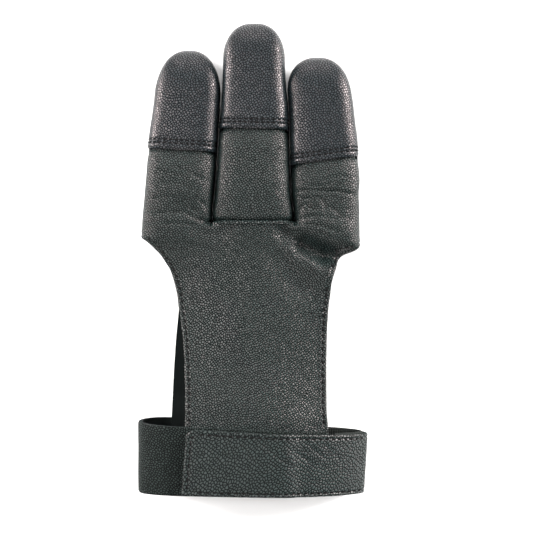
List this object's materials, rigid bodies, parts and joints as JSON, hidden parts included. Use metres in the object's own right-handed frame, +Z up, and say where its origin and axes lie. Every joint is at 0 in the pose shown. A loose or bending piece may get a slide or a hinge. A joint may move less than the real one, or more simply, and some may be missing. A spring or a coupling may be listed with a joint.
{
  "type": "archery glove",
  "caption": "Three-finger leather archery glove with capped fingertips, an open palm and back, and a wrist strap closed by a tab.",
  "frame": {"origin": "on the surface that the glove lies on, at the middle of its box", "axes": "+Y towards the fingertips, +Z up out of the palm, +X towards the index finger's side"},
  "size_m": [0.1013, 0.2082, 0.032],
  "materials": {
    "leather": "satin, fine pebble grain",
    "cap_leather": "satin, fine pebble grain",
    "strap_leather": "matt, fine pebble grain",
    "webbing": "matt, ribbed"
  },
  "bodies": {
    "root": {"palm_panel": "leather", "middle_finger_front": "leather", "back_panel": "leather", "ring_tip_cap": "cap_leather", "middle_tip_cap": "cap_leather", "index_tip_cap": "cap_leather", "wrist_strap": "strap_leather", "elastic_webbing": "webbing", "closure_pad": "webbing", "closing_tab": "leather"}
  },
  "joints": []
}
